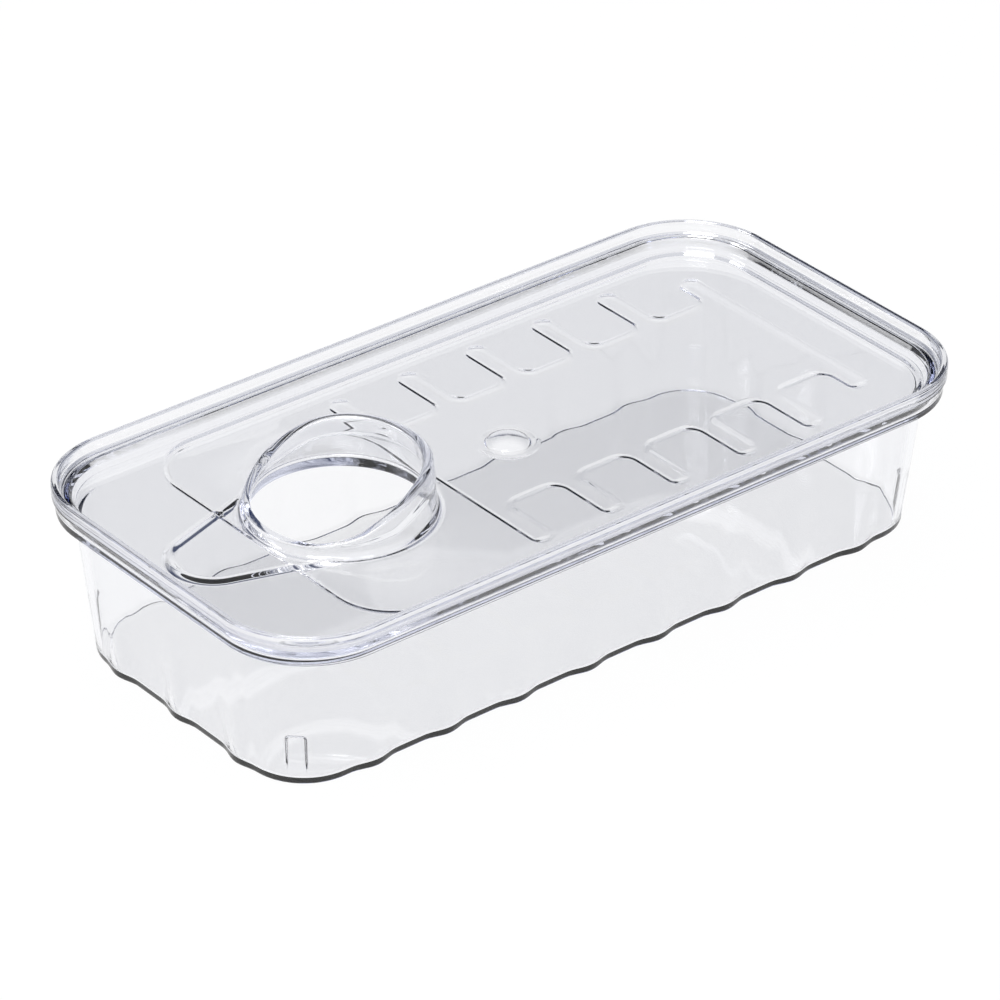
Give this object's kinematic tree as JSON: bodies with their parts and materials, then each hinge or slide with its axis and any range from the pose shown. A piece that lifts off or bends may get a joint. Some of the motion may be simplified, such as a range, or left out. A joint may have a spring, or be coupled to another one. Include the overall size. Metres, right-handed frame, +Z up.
{
  "type": "lidded tray",
  "caption": "Shallow rectangular clear plastic tray with a lift-off stepped lid that carries a hooded filling collar and a thumb tongue.",
  "frame": {"origin": "middle of the footprint, on the surface that the tray stands on", "axes": "+X along the tray's length with the collar at the -X end, +Y across, +Z up"},
  "size_m": [0.24, 0.121, 0.0592],
  "materials": {
    "clear_tray": "water-clear moulded styrene, polished",
    "clear_lid": "water-clear moulded styrene, polished, faintly grey through the panel"
  },
  "bodies": {
    "tray": {"tray": "clear_tray"},
    "lid": {"lid": "clear_lid"}
  },
  "joints": [
    {"name": "lid_lift", "type": "slide", "parent": "tray", "child": "lid", "axis": [0, 0, 1], "range_m": [0, 0.08]}
  ]
}
